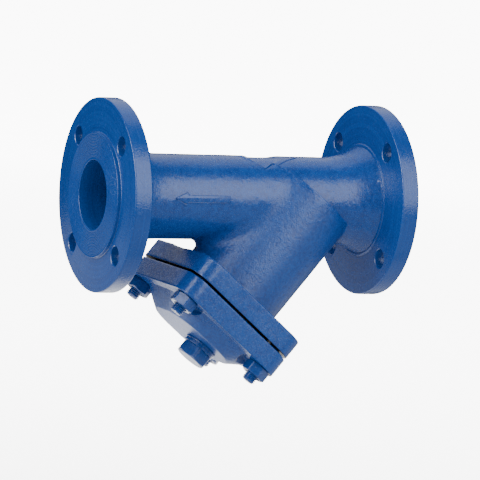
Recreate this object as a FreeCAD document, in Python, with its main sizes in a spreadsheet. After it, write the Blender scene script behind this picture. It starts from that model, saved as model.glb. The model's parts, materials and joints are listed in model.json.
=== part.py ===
import FreeCAD
import Part
import math
import os
import Sketcher

# A flanged Y strainer for a DN 50 pipe, PN 6 flanges, 230 mm between its faces.
#
# Frame: the origin is the centre of the outlet flange's face, on the bore's axis.
# +X runs along the bore to the inlet flange, +Z is up. Flow goes from the inlet towards -X.
#
# The leg has a frame of its own, in which the leg, its cover and all they hold are built.
# Its origin is where the leg's axis crosses the run's axis, its Z points down the leg, away
# from the run, its X lies in the plane of the Y and its Y points to the side of the flow arrow.

DIMENSIONS = (
    ("bore_d", 50, "bore at both flanges"),
    ("outlet_bore", 100, "length of the bore behind the outlet face"),
    ("inlet_bore", 34, "length of the bore behind the inlet face"),
    ("passage_d", 52, "passage between the two bores"),
    ("face_to_face", 230, "length between the flange faces"),
    ("flange_d", 140, "flange outside diameter"),
    ("flange_t", 16, "flange thickness with its raised face"),
    ("raised_face_d", 90, "raised face diameter"),
    ("raised_face_t", 3, "raised face height"),
    ("bolt_circle_d", 110, "bolt circle diameter"),
    ("bolt_hole_d", 14, "bolt hole diameter"),
    ("bolt_count", 4, "bolt holes in each flange"),
    ("rim_chamfer", 0.8, "chamfer on the flange rims"),
    ("neck_d", 61.6, "outside diameter of the run between its flanges"),
    ("flare_d", 79, "outside diameter of the run where it meets a flange"),
    ("flare_length", 33, "length over which the run flares to a flange"),
    ("crown_depth", 1.2, "depth of the shallow panel on the run's crown"),
    ("crown_start", 112, "outlet end of the crown panel on top"),
    ("crown_end", 161, "inlet end of the crown panel on top"),
    ("crown_low", 125.7, "position of the crown panel's lowest point"),
    ("crown_low_height", 23.5, "height of the crown panel's lowest point"),
    ("leg_x", 168.5, "where the leg's axis crosses the run's axis"),
    ("leg_angle", 50.5, "angle between the leg and the run"),
    ("leg_d", 78, "outside diameter of the leg"),
    ("leg_top", 2, "the leg's flat top, above the crossing"),
    ("leg_length", 104, "crossing to the joint face"),
    ("chamber_d", 65, "bore of the leg"),
    ("partition_top", 3, "crossing to the partition's upper side"),
    ("partition_under", 10, "crossing to the partition's lower side"),
    ("seat_d", 58.8, "pocket that holds the screen's upper ring"),
    ("seat_depth", 3, "depth of that pocket"),
    ("seat_run_in", 8, "how far the opening above the seat starts before the crossing"),
    ("square_w", 102.8, "width of the square flange and of the cover"),
    ("square_corner", 14, "corner radius of the square flange and of the cover"),
    ("square_t", 15, "thickness of the square flange"),
    ("stud_pitch", 78.4, "distance between neighbouring studs"),
    ("stud_d", 10, "stud diameter"),
    ("stud_play", 0.02, "gap round a stud in its tapped hole"),
    ("stud_engaged", 13.5, "length of a stud in the square flange"),
    ("stud_length", 43.7, "length of a stud"),
    ("stud_chamfer", 1, "chamfer on a stud's ends"),
    ("nut_flats", 17, "nut width across flats"),
    ("nut_height", 8, "nut height"),
    ("nut_play", 0.05, "gap between a nut and its stud"),
    ("gasket_t", 1.6, "gasket thickness when pressed"),
    ("gasket_inner_d", 67, "gasket inside diameter"),
    ("gasket_outer_d", 92, "gasket outside diameter"),
    ("cover_t", 15.2, "thickness of the cover's plate"),
    ("cover_hole_d", 11, "stud holes in the cover"),
    ("recess_d", 58.8, "recess in the cover for the screen's lower ring"),
    ("recess_depth", 10.4, "depth of that recess"),
    ("boss_root_w", 88, "width of the cover's boss at the plate"),
    ("boss_root_corner", 30, "corner radius of the boss at the plate"),
    ("boss_face_w", 61, "width of the boss at its end face"),
    ("boss_face_corner", 24, "corner radius of the boss at its end face"),
    ("boss_t", 11, "height of the boss"),
    ("scallop_d", 32, "clearance round each nut in the boss"),
    ("drain_offset", 11, "drain's distance from the leg's axis, towards its lowest side"),
    ("drain_d", 20.7, "drain thread in the cover"),
    ("plug_d", 20.6, "drain plug's shank"),
    ("plug_reach", 13, "length of the plug's shank in the cover"),
    ("plug_chamfer", 1, "chamfer on the end of the plug's shank"),
    ("ring_inner_d", 21.2, "sealing ring inside diameter"),
    ("ring_outer_d", 25.8, "sealing ring outside diameter"),
    ("ring_t", 1.5, "sealing ring thickness"),
    ("collar_d", 24.6, "plug's collar diameter"),
    ("collar_t", 2.5, "plug's collar thickness"),
    ("plug_flats", 22, "plug's width across flats"),
    ("plug_head", 9.2, "height of the plug's hexagon"),
    ("screen_d", 57, "screen outside diameter"),
    ("screen_t", 1, "thickness of the screen's sheet"),
    ("screen_gap", 0.3, "free length at each end of the screen"),
    ("end_ring_d", 58, "outside diameter of the screen's end rings"),
    ("end_ring_inner_d", 50.4, "inside diameter of the screen's end rings"),
    ("end_ring_t", 2, "thickness of an end ring's flange"),
    ("end_ring_sleeve", 5, "length of an end ring's sleeve"),
    ("end_ring_wall", 1.2, "wall of an end ring's sleeve"),
    ("arrow_tip", 51.5, "position of the flow arrow's tip"),
    ("arrow_length", 42, "length of the flow arrow"),
    ("arrow_height", 1, "height of the arrow's middle line over the run's axis"),
    ("arrow_head_length", 9.6, "length of the arrow's head"),
    ("arrow_head_w", 9.4, "width of the arrow's head"),
    ("arrow_shaft_w", 4.6, "width of the arrow's shaft"),
    ("arrow_line", 0.9, "width of the arrow's raised line"),
    ("arrow_relief", 0.7, "height of the arrow's raised line"),
    ("blend_leg", 6.5, "casting blend between the leg and the outlet neck"),
    ("blend_square", 3, "casting blend between the leg and its square flange"),
)

HEX_CORNER = 2 / math.sqrt(3)  # width across corners over width across flats
CHAMFER_SLOPE = math.tan(math.radians(30))  # rise of a nut's corner chamfer
OVERRUN = 5.0  # how far a cutting tool runs past the face it cuts
NEAR = 0.05  # how close to a surface an edge lies to count as on it

doc = FreeCAD.newDocument("y_strainer")
sheet = doc.addObject("Spreadsheet::Sheet", "Sizes")
for row, (alias, value, note) in enumerate(DIMENSIONS, 1):
    sheet.set(f"A{row}", alias)
    sheet.set(f"B{row}", str(value))
    sheet.setAlias(f"B{row}", alias)
    sheet.set(f"C{row}", note)
doc.recompute()


class Size:
    """A size as the expression that gives it from the sheet, with its present value."""

    def __init__(self, text, value):
        self.text = text
        self.value = value

    def __add__(self, other):
        other = size(other)
        return Size(f"({self.text} + {other.text})", self.value + other.value)

    def __sub__(self, other):
        other = size(other)
        return Size(f"({self.text} - {other.text})", self.value - other.value)

    def __mul__(self, factor):
        return Size(f"({self.text} * ({factor!r}))", self.value * factor)

    def __truediv__(self, divisor):
        return self * (1 / divisor)

    def __neg__(self):
        return self * -1.0


def size(item):
    """The Size of an alias on the sheet, or of a plain number."""
    if isinstance(item, Size):
        return item
    if isinstance(item, str):
        return Size(f"Sizes.{item}", float(sheet.get(item)))
    return Size(f"({float(item)!r})", float(item))


def bind(thing, **bindings):
    """Binds properties of a document object to sizes."""
    for name, item in bindings.items():
        thing.setExpression(name, size(item).text)
    return thing


# Levels down the leg, all counted from the crossing of the two axes.
joint_face = size("leg_length")
cover_top = joint_face + size("gasket_t")
cover_under = cover_top + size("cover_t")
boss_face = cover_under + size("boss_t")
recess_floor = cover_top + size("recess_depth")
ring_face = boss_face + size("ring_t")

neck_radius = size("neck_d") / 2
stud_side = size("stud_pitch") / 2
STUD_SIDES = ((-1, -1), (-1, 1), (1, 1), (1, -1))

# The frames that solids are built in: a solid is built along Z, and these put it in its place.
PLAIN = "placement(vector(0; 0; 0); rotation(vector(0; 0; 1); 0))"
LEG = (
    "placement(vector(Sizes.leg_x; 0; 0);"
    " rotation(vector(0; 1; 0); 90 - Sizes.leg_angle) * rotation(vector(1; 0; 0); 180))"
)
RUN = "placement(vector(0; 0; 0); rotation(vector(0; 1; 0); 90))"
UPRIGHT = FreeCAD.Placement(
    FreeCAD.Vector(0, 0, 0), FreeCAD.Rotation(FreeCAD.Vector(1, 0, 0), 90)
)


def place(thing, frame=PLAIN, x=0, y=0, z=0):
    """Puts an object at (x, y, z) of a frame."""
    spot = "; ".join(size(item).text for item in (x, y, z))
    shift = f"placement(vector({spot}); rotation(vector(0; 0; 1); 0))"
    thing.setExpression("Placement", f"{frame} * {shift}")
    return thing


def arc_middle(start, end, radius, side):
    """The middle of the short arc from start to end whose centre is on the left (1) or right (-1)."""
    chord = end - start
    to_left = FreeCAD.Vector(-chord.y, chord.x, 0).normalize()
    reach = math.sqrt(radius**2 - (chord.Length / 2) ** 2)
    centre = (start + end) / 2 + to_left * (side * reach)
    return centre - to_left * (side * radius)


def outline(name, corners, arcs=None):
    """A closed sketch through corners given as pairs of sizes.

    arcs gives (radius, side) for each edge that is an arc, by the number of its first corner.
    """
    arcs = arcs or {}
    corners = [(size(x), size(y)) for x, y in corners]
    points = [FreeCAD.Vector(x.value, y.value, 0) for x, y in corners]
    sketch = doc.addObject("Sketcher::SketchObject", name)
    ends = []
    for number, start in enumerate(points):
        end = points[(number + 1) % len(points)]
        if number in arcs:
            radius, side = arcs[number]
            middle = arc_middle(start, end, radius.value, side)
            edge = sketch.addGeometry(Part.Arc(start, middle, end))
            rule = sketch.addConstraint(Sketcher.Constraint("Radius", edge, radius.value))
            sketch.setExpression(f"Constraints[{rule}]", radius.text)
        else:
            edge = sketch.addGeometry(Part.LineSegment(start, end))
        first = 1 if sketch.getPoint(edge, 1).distanceToPoint(start) < 1e-6 else 2
        ends.append((edge, first, 3 - first))
    for number, (edge, first, last) in enumerate(ends):
        next_edge, next_first, _ = ends[(number + 1) % len(ends)]
        sketch.addConstraint(
            Sketcher.Constraint("Coincident", edge, last, next_edge, next_first)
        )
        for kind, distance in zip(("DistanceX", "DistanceY"), corners[number]):
            rule = sketch.addConstraint(
                Sketcher.Constraint(kind, -1, 1, edge, first, distance.value)
            )
            sketch.setExpression(f"Constraints[{rule}]", distance.text)
    return sketch


def turned(name, corners, arcs=None):
    """A solid turned about Z from its half section of (radius, height) corners."""
    section = outline(f"{name}_section", corners, arcs)
    section.Placement = UPRIGHT
    solid = doc.addObject("Part::Revolution", name)
    solid.Source = section
    solid.Base = (0, 0, 0)
    solid.Axis = (0, 0, 1)
    solid.Angle = 360
    solid.Solid = True
    return solid


def ring(name, inner, outer, low, high):
    """A turned ring of rectangular section."""
    return turned(name, ((inner, low), (outer, low), (outer, high), (inner, high)))


def cylinder(name, diameter, low, high, frame=PLAIN, x=0, y=0):
    """A cylinder along its frame's Z from low to high."""
    solid = doc.addObject("Part::Cylinder", name)
    bind(solid, Radius=size(diameter) / 2, Height=size(high) - low)
    return place(solid, frame, x, y, low)


def rounded_square(name, width, corner):
    """A sketch of a square with rounded corners, centred on the origin."""
    half = size(width) / 2
    corner = size(corner)
    flat = half - corner
    corners = (
        (flat, half),
        (-flat, half),
        (-half, flat),
        (-half, -flat),
        (-flat, -half),
        (flat, -half),
        (half, -flat),
        (half, flat),
    )
    return outline(name, corners, {edge: (corner, 1) for edge in (1, 3, 5, 7)})


def extruded(name, sketch, depth):
    """A solid that reaches from the sketch along its normal."""
    solid = doc.addObject("Part::Extrusion", name)
    solid.Base = sketch
    solid.DirMode = "Normal"
    solid.Solid = True
    return bind(solid, LengthFwd=depth)


def square_plate(name, low, high):
    """A plate with the outline of the leg's square flange."""
    sketch = rounded_square(f"{name}_outline", "square_w", "square_corner")
    return place(extruded(name, sketch, size(high) - low), z=low)


def joined(name, *solids):
    """The union of several solids."""
    union = doc.addObject("Part::MultiFuse", name)
    union.Shapes = list(solids)
    union.Refine = True
    return union


def without(name, base, *tools):
    """The base with the tools cut away."""
    cut = doc.addObject("Part::Cut", name)
    cut.Base = base
    cut.Tool = tools[0] if len(tools) == 1 else joined(f"{name}_tools", *tools)
    cut.Refine = True
    return cut


def overlap(name, base, tool):
    """What two solids share."""
    common = doc.addObject("Part::Common", name)
    common.Base = base
    common.Tool = tool
    return common


def hexagon_prism(name, flats, low, high):
    """A hexagonal bar along Z."""
    prism = doc.addObject("Part::Prism", name)
    prism.Polygon = 6
    bind(prism, Circumradius=size(flats) * (HEX_CORNER / 2), Height=size(high) - low)
    return place(prism, z=low)


def hexagon_head(name, flats, low, high, both_ends):
    """A hexagon with its corners chamfered at its high end, or at both."""
    flat_radius = size(flats) / 2
    corner_radius = flat_radius * HEX_CORNER
    drop = (corner_radius - flat_radius) * CHAMFER_SLOPE
    low = size(low)
    high = size(high)
    foot = [(flat_radius, low), (corner_radius, low + drop)] if both_ends else [(corner_radius, low)]
    head = [(corner_radius, high - drop), (flat_radius, high), (0, high)]
    crown = turned(f"{name}_crown", [(0, low)] + foot + head)
    return overlap(name, hexagon_prism(f"{name}_prism", flats, low, high), crown)


def stud_holes(name, diameter, low, high):
    """One cylinder at each stud."""
    return [
        cylinder(f"{name}_{number}", diameter, low, high, PLAIN, stud_side * x, stud_side * y)
        for number, (x, y) in enumerate(STUD_SIDES, 1)
    ]


def leg_direction():
    """The direction down the leg in the part's frame."""
    angle = math.radians(size("leg_angle").value)
    return FreeCAD.Vector(-math.cos(angle), 0, -math.sin(angle))


def leg_coordinates(point):
    """(distance down the leg, distance from its axis) of a point in the part's frame."""
    along = leg_direction()
    from_crossing = point - FreeCAD.Vector(size("leg_x").value, 0, 0)
    down = from_crossing.dot(along)
    return down, (from_crossing - along * down).Length


def edge_numbers(shape, wanted):
    """The numbers of a shape's edges whose middles pass a test."""
    numbers = []
    for number, edge in enumerate(shape.Edges, 1):
        middle = edge.valueAt((edge.FirstParameter + edge.LastParameter) / 2)
        if wanted(middle):
            numbers.append(number)
    return numbers


def blended(name, base, alias, wanted):
    """The base with a blend of the size that the alias gives on the wanted edges."""
    doc.recompute()
    radius = size(alias).value
    numbers = edge_numbers(base.Shape, wanted)
    blend = doc.addObject("Part::Fillet", name)
    blend.Base = base
    blend.Edges = [(number, radius, radius) for number in numbers]
    return blend


def run_outside():
    """The run with its two flanges, turned about the bore's axis."""
    length = size("face_to_face")
    thick = size("flange_t")
    chamfer = size("rim_chamfer")
    rim = size("flange_d") / 2
    face = size("raised_face_d") / 2
    step = size("raised_face_t")
    flare = size("flare_d") / 2
    reach = size("flare_length")
    rise = flare - neck_radius
    flare_text = f"({reach.text} ^ 2 + {rise.text} ^ 2) / (2 * {rise.text})"
    flare_arc = Size(flare_text, (reach.value**2 + rise.value**2) / (2 * rise.value))
    outlet_half = [
        (0, 0),
        (face, 0),
        (face, step),
        (rim - chamfer, step),
        (rim, step + chamfer),
        (rim, thick - chamfer),
        (rim - chamfer, thick),
        (flare, thick),
        (neck_radius, thick + reach),
    ]
    inlet_half = [(radius, length - along) for radius, along in reversed(outlet_half)]
    arcs = {7: (flare_arc, -1), 9: (flare_arc, -1)}
    return place(turned("run", outlet_half + inlet_half, arcs), RUN)


def leg_outside():
    """The leg's barrel, blended into the outlet neck and cut off flat just above the crossing.

    A blend only closes on the whole crossing of two pipes, so the barrel first runs on
    through the neck and its top is cut off afterwards.
    """
    past = size("leg_d").value
    length = size("leg_length").value
    crossing = FreeCAD.Vector(size("leg_x").value, 0, 0)
    down = leg_direction()
    barrel_radius = size("leg_d").value / 2
    barrel = Part.makeCylinder(barrel_radius, length + past, crossing - down * past, down)
    start = size("flange_t").value + size("flare_length").value
    stub_length = size("face_to_face").value - 2 * start
    stub = Part.makeCylinder(
        neck_radius.value, stub_length, FreeCAD.Vector(start, 0, 0), FreeCAD.Vector(1, 0, 0)
    )
    crossed = stub.fuse(barrel)

    def meets_outlet_neck(point):
        on_barrel = abs(leg_coordinates(point)[1] - barrel_radius) < NEAR
        on_stub = abs(math.hypot(point.y, point.z) - neck_radius.value) < NEAR
        return on_barrel and on_stub and point.x < crossing.x

    edges = [crossed.Edges[number - 1] for number in edge_numbers(crossed, meets_outlet_neck)]
    blend = crossed.makeFillet(size("blend_leg").value, edges)
    span = size("face_to_face").value
    top = crossing - down * (size("leg_top").value + span)
    leg = doc.addObject("Part::Feature", "leg")
    leg.Shape = blend.cut(Part.makeCylinder(span, span, top, down))
    return leg


def crown_panel():
    """The tool that cuts the shallow panel into the run's crown, clear of the leg."""
    above = neck_radius + OVERRUN
    corners = (("crown_start", above), ("crown_low", "crown_low_height"), ("crown_end", above))
    sketch = outline("crown_outline", corners)
    sketch.Placement = UPRIGHT
    prism = extruded("crown_prism", sketch, "neck_d")
    prism.Symmetric = True
    core_d = size("neck_d") - size("crown_depth") * 2
    core = cylinder("crown_core", core_d, 0, "face_to_face", RUN)
    barrel = cylinder("crown_barrel", "leg_d", -size("leg_top"), joint_face, LEG)
    return without("crown_panel", prism, core, barrel)


def body_outside():
    """The casting's outside, with its blends."""
    square_back = joint_face - size("square_t")
    square = place(square_plate("square_flange", 0, "square_t"), LEG, z=square_back)
    flanged_leg = joined("flanged_leg", leg_outside(), square)

    def meets_square_flange(point):
        down, off_leg = leg_coordinates(point)
        on_barrel = abs(off_leg - size("leg_d").value / 2) < NEAR
        return on_barrel and abs(down - square_back.value) < NEAR

    leg = blended("blended_leg", flanged_leg, "blend_square", meets_square_flange)
    return without("casting", joined("plain_casting", run_outside(), leg), crown_panel())


def body_bores():
    """What the casting is hollow by: bores, passages, the seat, the chamber and every hole."""
    length = size("face_to_face")
    far_end = length + OVERRUN
    far = joint_face + OVERRUN
    inlet_end = length - size("inlet_bore")
    inlet_bore = cylinder("inlet_bore", "bore_d", inlet_end, far_end, RUN)
    inlet = cylinder("inlet_passage", "passage_d", "crown_start", inlet_end, RUN)
    below = cylinder("below_partition", length * 2, "partition_top", length, LEG)
    outlet_bore = cylinder("outlet_bore", "bore_d", -OVERRUN, "outlet_bore", RUN)
    outlet = cylinder("outlet_passage", "passage_d", "outlet_bore", "crown_end", RUN)
    above = cylinder("above_partition", length * 2, -length, "partition_under", LEG)
    pocket_top = size("partition_under") - size("seat_depth")
    hollows = [
        cylinder("chamber", "chamber_d", "partition_under", far),
        cylinder("seat_pocket", "seat_d", pocket_top, "partition_under"),
        cylinder("seat_opening", "bore_d", -size("seat_run_in"), pocket_top),
    ]
    tapped_d = size("stud_d") + size("stud_play") * 2
    square_back = joint_face - size("square_t") - OVERRUN
    hollows += stud_holes("tapped_hole", tapped_d, square_back, far)

    bolt_holes = []
    circle = size("bolt_circle_d") / 2
    count = int(size("bolt_count").value)
    flanges = (
        ("outlet", -OVERRUN, size("flange_t") + OVERRUN),
        ("inlet", length - size("flange_t") - OVERRUN, far_end),
    )
    for number in range(1, count + 1):
        turn = math.radians(360 / count * (number - 0.5))
        across = circle * math.cos(turn)
        up = circle * math.sin(turn)
        for side, start, end in flanges:
            name = f"{side}_bolt_hole_{number}"
            bolt_holes.append(cylinder(name, "bolt_hole_d", start, end, PLAIN, across, up))
    return [
        inlet_bore,
        outlet_bore,
        without("inlet_cavity", inlet, below),
        without("outlet_cavity", outlet, above),
        place(joined("leg_hollows", *hollows), LEG),
        place(joined("bolt_holes", *bolt_holes), RUN),
    ]


def flow_arrow():
    """The outline of an arrow, raised on the outlet neck and pointing to the outlet."""
    tip = size("arrow_tip")
    neck = tip + size("arrow_head_length")
    tail = tip + size("arrow_length")
    middle = size("arrow_height")
    head = size("arrow_head_w") / 2
    shaft = size("arrow_shaft_w") / 2
    corners = (
        (tip, middle),
        (neck, middle - head),
        (neck, middle - shaft),
        (tail, middle - shaft),
        (tail, middle + shaft),
        (neck, middle + shaft),
        (neck, middle + head),
    )
    outer = outline("arrow_outline", corners)
    outer.Placement = UPRIGHT
    inner = doc.addObject("Part::Offset2D", "arrow_inside")
    inner.Source = outer
    inner.Join = "Intersection"
    bind(inner, Value=-size("arrow_line"))
    reach = neck_radius + OVERRUN
    line = without(
        "arrow_line",
        extruded("arrow_solid", outer, reach),
        extruded("arrow_hollow", inner, reach),
    )
    length = size("face_to_face")
    high_d = size("neck_d") + size("arrow_relief") * 2
    skin = without(
        "arrow_skin",
        cylinder("arrow_skin_outside", high_d, 0, length),
        cylinder("arrow_skin_inside", size("neck_d") - size("arrow_relief") * 2, 0, length),
    )
    return overlap("arrow", line, place(skin, RUN))


def body():
    casting = joined("cast_body", body_outside(), flow_arrow())
    return without("body", casting, *body_bores())


def cover():
    plate = square_plate("cover_plate", cover_top, cover_under)
    root = place(rounded_square("boss_root", "boss_root_w", "boss_root_corner"), z=cover_under)
    end = place(rounded_square("boss_end", "boss_face_w", "boss_face_corner"), z=boss_face)
    boss = doc.addObject("Part::Loft", "boss")
    boss.Sections = [root, end]
    boss.Solid = True
    boss.Ruled = True
    scallops = stud_holes("scallop", "scallop_d", cover_under, boss_face + OVERRUN)
    hub = without("scalloped_boss", boss, *scallops)
    tools = stud_holes(
        "cover_hole", "cover_hole_d", cover_top - OVERRUN, cover_under + OVERRUN
    )
    tools.append(cylinder("cover_recess", "recess_d", cover_top - OVERRUN, recess_floor))
    through = boss_face + OVERRUN
    tools.append(cylinder("drain_hole", "drain_d", cover_top, through, PLAIN, "drain_offset"))
    return place(without("cover", joined("cover_blank", plate, hub), *tools), LEG)


def cover_gasket():
    inner = size("gasket_inner_d") / 2
    outer = size("gasket_outer_d") / 2
    return place(ring("cover_gasket", inner, outer, joint_face, cover_top), LEG)


def screen():
    """The sleeve and its two end rings, free at each end by the same gap."""
    outer = size("screen_d") / 2
    inner = outer - size("screen_t")
    gap = size("screen_gap")
    top = size("partition_under") - size("seat_depth") + gap
    base = recess_floor - gap
    flange = size("end_ring_t")
    sleeve = size("end_ring_sleeve")
    bore = size("end_ring_inner_d") / 2
    rim = size("end_ring_d") / 2
    lining = inner - size("end_ring_wall")
    shell = ring("screen_shell", inner, outer, top + flange, base - flange)
    rings = []
    for name, start, sign in (
        ("screen_seat_ring", top, 1),
        ("screen_base_ring", base, -1),
    ):
        shoulder = start + flange * sign
        tip = shoulder + sleeve * sign
        corners = (
            (bore, start),
            (rim, start),
            (rim, shoulder),
            (inner, shoulder),
            (inner, tip),
            (lining, tip),
            (lining, shoulder),
            (bore, shoulder),
        )
        rings.append(turned(name, corners))
    return [place(piece, LEG) for piece in (shell, *rings)]


def drain_plug():
    shank_radius = size("plug_d") / 2
    collar_radius = size("collar_d") / 2
    tip = boss_face - size("plug_reach")
    collar_face = ring_face + size("collar_t")
    chamfer = size("plug_chamfer")
    corners = (
        (0, tip),
        (shank_radius - chamfer, tip),
        (shank_radius, tip + chamfer),
        (shank_radius, ring_face),
        (collar_radius, ring_face),
        (collar_radius, collar_face),
        (0, collar_face),
    )
    shank = turned("plug_shank", corners)
    head = hexagon_head(
        "plug_head", "plug_flats", collar_face, collar_face + size("plug_head"), False
    )
    plug = joined("drain_plug", shank, head)
    seal_inner = size("ring_inner_d") / 2
    seal_outer = size("ring_outer_d") / 2
    seal = ring("plug_sealing_ring", seal_inner, seal_outer, boss_face, ring_face)
    return [place(piece, LEG, x="drain_offset") for piece in (plug, seal)]


def fasteners():
    """A stud and a nut at each corner of the cover."""
    start = joint_face - size("stud_engaged")
    end = start + size("stud_length")
    radius = size("stud_d") / 2
    chamfer = size("stud_chamfer")
    bore = size("stud_d") + size("nut_play") * 2
    nut_end = cover_under + size("nut_height")
    pieces = []
    for number, (x, y) in enumerate(STUD_SIDES, 1):
        stud = turned(
            f"stud_{number}",
            (
                (0, start),
                (radius - chamfer, start),
                (radius, start + chamfer),
                (radius, end - chamfer),
                (radius - chamfer, end),
                (0, end),
            ),
        )
        blank = hexagon_head(f"nut_{number}_blank", "nut_flats", cover_under, nut_end, True)
        hole = cylinder(f"nut_{number}_hole", bore, cover_under - OVERRUN, nut_end + OVERRUN)
        nut = without(f"nut_{number}", blank, hole)
        pieces += [place(piece, LEG, stud_side * x, stud_side * y) for piece in (stud, nut)]
    return pieces


parts = [body(), cover(), cover_gasket(), *screen(), *drain_plug(), *fasteners()]
for part in parts:
    part.Label = part.Name
doc.recompute()

for thing in doc.Objects:
    if "Invalid" in thing.State or "Error" in thing.State:
        raise SystemExit(f"{thing.Name} did not recompute: {thing.State}")
for part in parts:
    if part.Shape.isNull() or not part.Shape.isValid():
        raise SystemExit(f"{part.Label} has no valid shape")

os.makedirs("parts", exist_ok=True)
for part in parts:
    part.Shape.exportStep(os.path.join("parts", f"{part.Label}.step"))
    print(f"{part.Label}: {len(part.Shape.Solids)} solid, {part.Shape.Volume / 1000:.2f} cm3")
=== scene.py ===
import bmesh
import bpy
import json
import math
from mathutils import Matrix, Vector, noise


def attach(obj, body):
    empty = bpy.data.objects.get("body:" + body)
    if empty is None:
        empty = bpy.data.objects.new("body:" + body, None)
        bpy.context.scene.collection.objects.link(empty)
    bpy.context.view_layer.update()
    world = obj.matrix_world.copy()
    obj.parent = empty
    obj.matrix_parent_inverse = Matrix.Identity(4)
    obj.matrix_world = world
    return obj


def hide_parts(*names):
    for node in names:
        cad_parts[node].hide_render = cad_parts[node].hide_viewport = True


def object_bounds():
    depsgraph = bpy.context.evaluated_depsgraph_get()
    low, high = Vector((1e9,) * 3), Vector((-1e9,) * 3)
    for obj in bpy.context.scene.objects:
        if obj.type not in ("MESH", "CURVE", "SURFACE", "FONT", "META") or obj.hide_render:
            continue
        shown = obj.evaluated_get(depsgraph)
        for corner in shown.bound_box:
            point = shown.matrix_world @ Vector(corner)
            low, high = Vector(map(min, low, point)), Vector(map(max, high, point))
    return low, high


# A flanged Y strainer. The row frame has the outlet flange's face at x = 0, the bore along X and Z up.
# Lengths are in metres. MM turns millimetres into metres.

MM = 0.001
ON_AXIS = 1e-7  # a radius below this is a point on the axis
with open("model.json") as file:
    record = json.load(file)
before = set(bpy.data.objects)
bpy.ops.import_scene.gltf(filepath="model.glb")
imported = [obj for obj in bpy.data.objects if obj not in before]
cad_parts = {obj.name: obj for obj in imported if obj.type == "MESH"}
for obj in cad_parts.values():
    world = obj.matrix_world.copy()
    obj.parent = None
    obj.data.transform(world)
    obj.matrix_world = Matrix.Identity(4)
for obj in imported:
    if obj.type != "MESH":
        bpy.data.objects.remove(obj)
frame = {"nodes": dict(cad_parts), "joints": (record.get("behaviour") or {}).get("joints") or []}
nodes = frame["nodes"]
cad_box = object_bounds()

# ---------------------------------------------------------------- sizes

LENGTH = cad_box[1].x - cad_box[0].x
BORE_R = 25 * MM
NECK_R = 30.8 * MM
FLANGE_R = 70 * MM
FLANGE_T = 16 * MM
FACE_R = 45 * MM
FACE_T = 3 * MM
BOLT_CIRCLE_R = 55 * MM
BOLT_HOLE_R = 7 * MM
LEG_X = 168.5 * MM
LEG_ANGLE = math.radians(50.5)
LEG_R = 39 * MM
STUD_SIDE = 39.2 * MM
STUD_SIDES = ((-1, -1), (-1, 1), (1, 1), (1, -1))
STUD_R = 5 * MM
STUD_PITCH = 1.5 * MM
STUD_START = 90.5 * MM
STUD_END = 134.2 * MM
JOINT_FACE = 104 * MM
COVER_TOP = 105.6 * MM
COVER_UNDER = 120.8 * MM
BOSS_FACE = 131.8 * MM
DRAIN_U = 11 * MM

# The leg's frame: its Z runs down the leg from the crossing of the two axes.
down = Vector((-math.cos(LEG_ANGLE), 0, -math.sin(LEG_ANGLE)))
across = Vector((math.sin(LEG_ANGLE), 0, -math.cos(LEG_ANGLE)))
sideways = down.cross(across)
LEG = Matrix.Translation((LEG_X, 0, 0)) @ Matrix((across, sideways, down)).transposed().to_4x4()
RUN = Matrix.Rotation(math.pi / 2, 4, "Y")


def leg_shift(u, v):
    """The matrix that puts a piece built about the origin's axis at (u, v) of the leg's frame."""
    return LEG @ Matrix.Translation((u, v, 0))


# ---------------------------------------------------------------- mesh tools


def mesh_object(name, bm, matrix=None):
    """A new object from a bmesh, with its vertices in the row frame."""
    mesh = bpy.data.meshes.new(name)
    if matrix is not None:
        bm.transform(matrix)
    bmesh.ops.recalc_face_normals(bm, faces=bm.faces)
    bm.to_mesh(mesh)
    bm.free()
    thing = bpy.data.objects.new(name, mesh)
    bpy.context.scene.collection.objects.link(thing)
    return thing


def baked_mesh(thing):
    """Applies an object's modifiers to its mesh."""
    depsgraph = bpy.context.evaluated_depsgraph_get()
    mesh = bpy.data.meshes.new_from_object(thing.evaluated_get(depsgraph))
    thing.modifiers.clear()
    old = thing.data
    thing.data = mesh
    bpy.data.meshes.remove(old)
    return thing


def smooth_shaded(thing, angle=35):
    """Smooth shading with edges sharper than the angle kept sharp."""
    thing.data.polygons.foreach_set("use_smooth", [True] * len(thing.data.polygons))
    thing.data.set_sharp_from_angle(angle=math.radians(angle))
    return thing


def circle_points(ring, turn=0.0):
    """The points of a ring given as evenly spread (radius, height) pairs about Z."""
    points = []
    for k, (radius, height) in enumerate(ring):
        angle = 2 * math.pi * k / len(ring) + turn
        points.append((radius * math.cos(angle), radius * math.sin(angle), height))
    return points


def vertex_ring(bm, points):
    """A ring of new vertices."""
    return [bm.verts.new(point) for point in points]


def lathe(profile, segments=192, closed=True):
    """A bmesh of a profile of (radius, height) points turned about Z."""
    bm = bmesh.new()
    loops = []
    for radius, height in profile:
        if radius < ON_AXIS:
            loops.append([bm.verts.new((0, 0, height))])
            continue
        loops.append(vertex_ring(bm, circle_points([(radius, height)] * segments)))
    bridge_all(bm, loops)
    if closed:
        bridge(bm, loops[-1], loops[0])
    return bm


def bridge(bm, low, high):
    """Faces between two rings of vertices, either of which may be a single point."""
    count = max(len(low), len(high))
    for k in range(count):
        after = (k + 1) % count
        corners = []
        for ring, order in ((low, (k, after)), (high, (after, k))):
            corners += [ring[0]] if len(ring) == 1 else [ring[i] for i in order]
        if len(corners) > 2:
            bm.faces.new(corners)


def bridge_all(bm, loops):
    """Faces between each ring of vertices and the next."""
    for low, high in zip(loops, loops[1:]):
        bridge(bm, low, high)


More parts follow.
